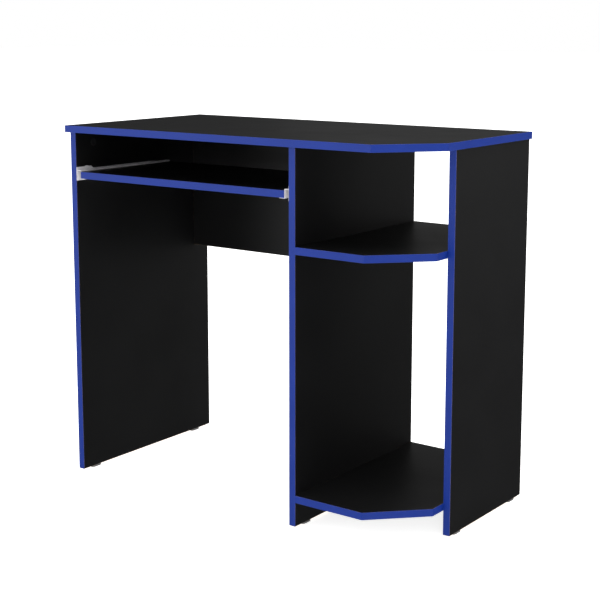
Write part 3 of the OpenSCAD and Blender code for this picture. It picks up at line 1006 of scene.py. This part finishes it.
def glide_mesh(node, material):
    """Moulded glides: rounded underneath, with a sunk hole for the nail."""
    hole, sink, sink_top = 1.0 * MM, 3.0 * MM, 1.8 * MM
    soft, broken = 0.4 * MM, 0.3 * MM
    sole = [(0.9, 0), (0.55, 0.06), (0.25, 0.22), (0.06, 0.5), (0, 0.85)]
    shape = bmesh.new()
    for points in solids(node):
        low, high = extent(points)
        width, length, top = high.x - low.x, high.y - low.y, high.z - low.z
        rings = [long_ring(width, length, a * MM, b * MM) for a, b in sole]
        rings += [
            long_ring(width, length, 0, top - soft),
            long_ring(width, length, soft, top),
            round_ring(hole, top),
            round_ring(hole, sink_top),
            round_ring(sink, sink_top),
            round_ring(sink, broken),
            round_ring(sink + soft, 0),
        ]
        centre = Vector(((low.x + high.x) / 2, (low.y + high.y) / 2, low.z))
        ring_loft(shape, [[p + centre for p in ring] for ring in rings], closed=True)
    bmesh.ops.recalc_face_normals(shape, faces=shape.faces)
    return to_mesh(shape, f"{node}_finished", [material], 35)


def nail_mesh(seat):
    """A nail with a slightly domed head and a diamond point."""
    head, shank = seat.radius, 0.9 * MM
    profile = [
        (0.05 * MM, 0),
        (head * 0.75, -0.03 * MM),
        (head - 0.1 * MM, -0.2 * MM),
        (head, -0.45 * MM),
        (head - 0.1 * MM, -0.78 * MM),
        (shank, -0.8 * MM),
        (shank, -seat.length + 2.5 * MM),
        (0.08 * MM, -seat.length),
    ]
    return fitting_mesh(turned(profile, 20))


class DESK_OT_add_glides(bpy.types.Operator):
    """Add the plastic glides under the panels and the nails that hold them"""

    bl_idname = "desk.add_glides"
    bl_label = "Add glides"

    def execute(self, context):
        settings = context.scene.desk_fittings
        grey = moulded_plastic("grey_plastic", settings.glide_colour, 0.5, 0.00006)
        for node in GLIDES:
            add_piece(glide_mesh(node, grey), node)
        add_fittings("glide_nails", nail_mesh, bright_zinc(settings), "zinc_fasteners")
        return {"FINISHED"}


# ---- cam fittings and dowels -------------------


def cap_mesh(seat):
    """A push-in cap with a soft edge and a shallow dish in its face."""
    r, t = seat.radius, seat.length
    profile = [
        (0.02 * MM, -0.25 * MM),
        (r - 2.6 * MM, -0.25 * MM),
        (r - 1.9 * MM, 0),
        (r - 1.1 * MM, 0),
        (r - 0.45 * MM, -0.12 * MM),
        (r - 0.1 * MM, -0.45 * MM),
        (r, -t),
        (0.02 * MM, -t),
    ]
    return fitting_mesh(turned(profile, 40), 50)


def dowel_mesh(seat, flutes):
    """A dowel with pressed flutes and chamfered ends."""
    radius, length = seat.radius, seat.length
    chamfer, depth = 1.2 * MM, 0.3 * MM
    count = flutes * 4
    shape = bmesh.new()
    rings = []
    ends = ((0, chamfer), (-chamfer, 0), (chamfer - length, 0), (-length, chamfer))
    for level, inset in ends:
        ring = circle(1, level, count)
        for i, point in enumerate(ring):
            groove = depth if i % 4 == 0 and not inset else 0
            point.x *= radius - inset - groove
            point.y *= radius - inset - groove
        rings.append(ring)
    ring_loft(shape, rings)
    bmesh.ops.recalc_face_normals(shape, faces=shape.faces)
    return fitting_mesh(shape, 20)


def cam_bolt_mesh(seat, settings):
    """A cam bolt: ball-nosed head, slim neck, collar and a coarse thread."""
    head, neck, core, tip = seat.radius, 2.0 * MM, 2.5 * MM, 1.6 * MM
    head_end, collar_t, bite = -3.5 * MM, 1.5 * MM, 11 * MM
    collar = bite - seat.length
    profile = [
        (1.2 * MM, 0),
        (head * 0.55, -0.1 * MM),
        (head * 0.8, -0.6 * MM),
        (head * 0.8, -2.9 * MM),
        (neck, head_end),
        (neck, collar + collar_t),
        (head, collar + collar_t),
        (head, collar),
        (1.9 * MM, collar - 0.2 * MM),
        *thread(core, collar - 0.6 * MM, tip - seat.length, settings),
        (tip, 0.8 * MM - seat.length),
        (0.6 * MM, -seat.length),
    ]
    return fitting_mesh(turned(profile, 24))


class DESK_OT_add_cam_fittings(bpy.types.Operator):
    """Add the caps, dowels and cam bolts, and finish the cam locks"""

    bl_idname = "desk.add_cam_fittings"
    bl_label = "Add cam fittings"

    def execute(self, context):
        settings = context.scene.desk_fittings
        black = moulded_plastic("black_plastic", settings.cap_colour, 0.45, 0.00005)
        add_fittings("cam_caps", cap_mesh, black, "black_plastic")
        upright = beech("beech_upright", (1, 1, WOOD_GRAIN), settings)
        level = beech("beech_level", (WOOD_GRAIN, 1, 1), settings)
        for node in DOWELS:
            wood = upright if node == "desktop_dowels" else level
            add_fittings(node, dowel_mesh, wood, "beech", settings.flutes)
        zinc = bright_zinc(settings)
        for node in CAM_BOLTS:
            add_fittings(node, cam_bolt_mesh, zinc, "zinc_fasteners", settings)
        cast = cast_zinc(settings)
        for node in CAM_LOCKS:
            dress(node, cast)
        return {"FINISHED"}


# ---- slides ------------------------------------


def rail_mesh(node, material):
    """A rolled rail with its bends shaded round and its sheet edges crisp."""
    return to_mesh(merged(node), f"{node}_finished", [material], 32)


def cross_head(profile, wing, settings):
    """A screw turned from its profile, with a cross of that wing in its head."""
    blank = fitting_mesh(turned(profile, SCREW_FACETS))
    return cross_recess(blank, settings.recess_width, wing, RECESS_DEPTH)


def flat_screw_mesh(seat, settings):
    """A countersunk cross-head screw, its face at the top."""
    head, cone = seat.radius - 0.05 * MM, 1.9 * MM
    profile = [
        (0.3 * MM, 0),
        (head * 0.6, 0),
        (head - 0.15 * MM, 0),
        (head, -0.12 * MM),
        (head, -0.25 * MM),
        (SCREW_SHANK, -cone),
        *thread(SCREW_SHANK + 0.15 * MM, -cone - 0.4 * MM, SCREW_TAPER - seat.length, settings),
        (SCREW_POINT, -seat.length),
    ]
    return cross_head(profile, head * 1.25, settings)


def pan_screw_mesh(seat, settings):
    """A pan-head cross-head screw, its domed head above the sheet."""
    head, rise = seat.radius, 1.8 * MM
    profile = [
        (0.3 * MM, 0),
        *rounded((head * 0.45, 0), (head, -1.1 * MM), (head, 0), 5),
        (head, 0.2 * MM - rise),
        (head - 0.1 * MM, -rise),
        (SCREW_SHANK, -rise),
        *thread(SCREW_SHANK, -rise - 0.5 * MM, SCREW_TAPER - seat.length, settings),
        (SCREW_POINT, -seat.length),
    ]
    return cross_head(profile, head * 1.15, settings)


def axle_mesh(seat):
    """A shouldered axle, its far end peened over into a low dome."""
    head, head_t, journal = seat.radius, 0.9 * MM, 2.4 * MM
    shoulder, soft = 3.8 * MM, 0.2 * MM
    shoulder_end = 1.0 * MM - seat.length
    shoulder_top = shoulder_end + 1.3 * MM
    profile = [
        (0.2 * MM, 0),
        *rounded((head * 0.35, 0), (head, -head_t * 0.75), (head, 0), 4),
        (head, -head_t),
        (journal, -head_t),
        (journal, shoulder_top),
        (shoulder - soft, shoulder_top),
        (shoulder, shoulder_top - soft),
        (shoulder, shoulder_end),
        (journal, shoulder_end),
        (journal, soft - seat.length),
        (journal - soft, -seat.length),
    ]
    return fitting_mesh(turned(profile))


class DESK_OT_add_slides(bpy.types.Operator):
    """Add the cabinet rails, the tray rails, their screws and the axles"""

    bl_idname = "desk.add_slides"
    bl_label = "Add slides"

    def execute(self, context):
        settings = context.scene.desk_fittings
        strip = rolled_zinc(settings)
        zinc = bright_zinc(settings)
        for node in RAILS:
            add_piece(rail_mesh(node, strip), node)
        add_fittings("cabinet_rail_screws", flat_screw_mesh, zinc, "zinc_fasteners", settings)
        add_fittings("tray_rail_screws", pan_screw_mesh, zinc, "zinc_fasteners", settings)
        for node in ROLLER_AXLES:
            add_fittings(node, axle_mesh, zinc, "zinc_fasteners")
        return {"FINISHED"}


# ---- rollers -----------------------------------


def roller_mesh(node, material, ribs):
    """A moulded roller: crowned rim, dished web with ribs, and a bored hub."""
    low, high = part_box(node)
    radius, width = (high.z - low.z) / 2, high.x - low.x
    bore, hub, rim_in = 2.45 * MM, 4.8 * MM, radius - 1.6 * MM
    dish, soft, crown, draft = 1.3 * MM, 0.3 * MM, 0.12 * MM, 0.15 * MM
    half = width / 2
    side = [
        (bore, half - soft),
        (bore + soft, half),
        (hub - soft, half),
        (hub, half - soft),
        (hub + draft, half - dish),
        (rim_in - draft, half - dish),
        (rim_in, half - soft),
        (rim_in + soft, half),
        (radius - crown - 0.5 * MM, half),
        (radius - crown, half - 0.45 * MM),
        (radius - crown * 0.3, half * 0.5),
    ]
    other = [(r, -z) for r, z in reversed(side)]
    shape = turned([*side, (radius, 0), *other], 64, closed=True)
    for i in range(ribs):
        for way in (1, -1):
            rib = bmesh.ops.create_cube(shape, size=1)["verts"]
            for vert in rib:
                pinch = 1.0 if vert.co.z * way < 0 else 0.6
                vert.co.x = hub - soft if vert.co.x < 0 else rim_in + soft
                vert.co.y *= 0.9 * MM * pinch
                vert.co.z = way * (half - dish - soft if vert.co.z * way < 0 else half - 0.5 * MM)
            turn = Matrix.Rotation(math.tau * i / ribs, 3, "Z")
            bmesh.ops.rotate(shape, verts=rib, matrix=turn)
    lay_down = Matrix.Translation((low + high) / 2) @ Matrix.Rotation(math.pi / 2, 4, "Y")
    bmesh.ops.transform(shape, matrix=lay_down, verts=shape.verts)
    bmesh.ops.recalc_face_normals(shape, faces=shape.faces)
    return to_mesh(shape, f"{node}_finished", [material], 38)


class DESK_OT_add_rollers(bpy.types.Operator):
    """Add the four nylon rollers"""

    bl_idname = "desk.add_rollers"
    bl_label = "Add rollers"

    def execute(self, context):
        settings = context.scene.desk_slides
        # The darkened roller colour paints in the shade of the rail channel that the rollers sit in
        nylon = moulded_plastic("nylon_with_painted_shade", settings.nylon_colour_and_painted_shade, 0.42, 0.00004)
        for node in ROLLERS:
            add_piece(roller_mesh(node, nylon, settings.roller_ribs), node)
        return {"FINISHED"}


# ---- stage -------------------------------------


def add_floor(settings):
    """A wide pale floor under the glides."""
    reach = 40.0
    mesh = bpy.data.meshes.new("floor")
    corners = [(-reach, -reach, 0), (reach, -reach, 0), (reach, reach, 0), (-reach, reach, 0)]
    mesh.from_pydata(corners, [], [(0, 1, 2, 3)])
    floor = new_object("floor", mesh)
    material, _, shader = new_material("pale_floor")
    fill(
        shader,
        Base_Color=(*settings.floor_colour, 1),
        Roughness=0.9,
        Specular_IOR_Level=0.1,
        Emission_Color=(1, 1, 1, 1),
        Emission_Strength=settings.floor_glow,
    )
    mesh.materials.append(material)
    floor.visible_glossy = False


def add_softbox(name, place, target, size, strength, glossy):
    """A soft light that faces a target. Where glossy is False, it lights the desk
    without being seen in its reflections."""
    light = bpy.data.lights.new(name, "AREA")
    light.shape = "RECTANGLE"
    light.size, light.size_y = size
    light.energy = strength
    box = new_object(name, light)
    box.location = place
    box.rotation_mode = "QUATERNION"
    box.rotation_quaternion = (Vector(target) - Vector(place)).to_track_quat("-Z", "Y")
    box.visible_glossy = glossy


def light_room(settings):
    """A pale room that glossy surfaces see as dim, so that black stays black."""
    world = bpy.data.worlds.new("pale room")
    world.use_nodes = True
    tree = world.node_tree
    ray = tree.nodes.new("ShaderNodeLightPath")
    strength = tree.nodes.new("ShaderNodeMapRange")
    fill(
        strength,
        Value=ray.outputs["Is Glossy Ray"],
        To_Min=settings.room_light,
        To_Max=settings.room_gloss,
    )
    fill(tree.nodes["Background"], Color=(1, 1, 1, 1), Strength=strength.outputs["Result"])
    world.cycles.sampling_method = "NONE"
    bpy.context.scene.world = world


def add_camera(settings):
    """The camera, in front of the desk's right end and a little above its top."""
    data = bpy.data.cameras.new("camera")
    data.lens = settings.lens
    data.sensor_width = 36.0
    data.shift_y = settings.camera_shift
    data.clip_end = 200.0
    camera = new_object("camera", data)
    camera.location = settings.camera_place
    camera.rotation_euler = (math.pi / 2 - settings.camera_tilt, 0, settings.camera_turn)
    bpy.context.scene.camera = camera


class DESK_OT_set_stage(bpy.types.Operator):
    """Add the floor, the soft lights and the camera"""

    bl_idname = "desk.set_stage"
    bl_label = "Set stage"

    def execute(self, context):
        settings = context.scene.desk_stage
        add_camera(settings)
        add_floor(settings)
        light_room(settings)
        context.scene.view_settings.view_transform = "Standard"
        low, high = (Vector(corner) for corner in CAD_BOX)
        centre = (low + high) / 2
        for name, place, size, strength, glossy in SOFTBOXES:
            add_softbox(name, place, centre, size, strength, glossy)
        return {"FINISHED"}


# ---- panel and running -------------------------


OPERATORS = (
    DESK_OT_add_boards,
    DESK_OT_add_bands,
    DESK_OT_add_glides,
    DESK_OT_add_cam_fittings,
    DESK_OT_add_slides,
    DESK_OT_add_rollers,
    DESK_OT_set_stage,
)
SETTINGS = {
    "desk_boards": DeskBoardSettings,
    "desk_bands": DeskBandSettings,
    "desk_fittings": DeskFittingSettings,
    "desk_slides": DeskSlideSettings,
    "desk_stage": DeskStageSettings,
}


class DESK_PT_panel(bpy.types.Panel):
    """The desk's operators, in the order in which they run"""

    bl_label = "Desk"
    bl_idname = "DESK_PT_panel"
    bl_space_type = "VIEW_3D"
    bl_region_type = "UI"
    bl_category = "Desk"

    def draw(self, context):
        for operator in OPERATORS:
            self.layout.operator(operator.bl_idname)


def register():
    for cls in (*SETTINGS.values(), *OPERATORS, DESK_PT_panel):
        bpy.utils.register_class(cls)
    for name, group in SETTINGS.items():
        setattr(bpy.types.Scene, name, PointerProperty(type=group))


def unregister():
    for name in SETTINGS:
        delattr(bpy.types.Scene, name)
    for cls in reversed((*SETTINGS.values(), *OPERATORS, DESK_PT_panel)):
        bpy.utils.unregister_class(cls)


def main():
    register()
    bpy.ops.desk.add_boards()
    bpy.ops.desk.add_bands()
    bpy.ops.desk.add_glides()
    bpy.ops.desk.add_cam_fittings()
    bpy.ops.desk.add_slides()
    bpy.ops.desk.add_rollers()
    bpy.ops.desk.set_stage()


if __name__ == "__main__":
    main()
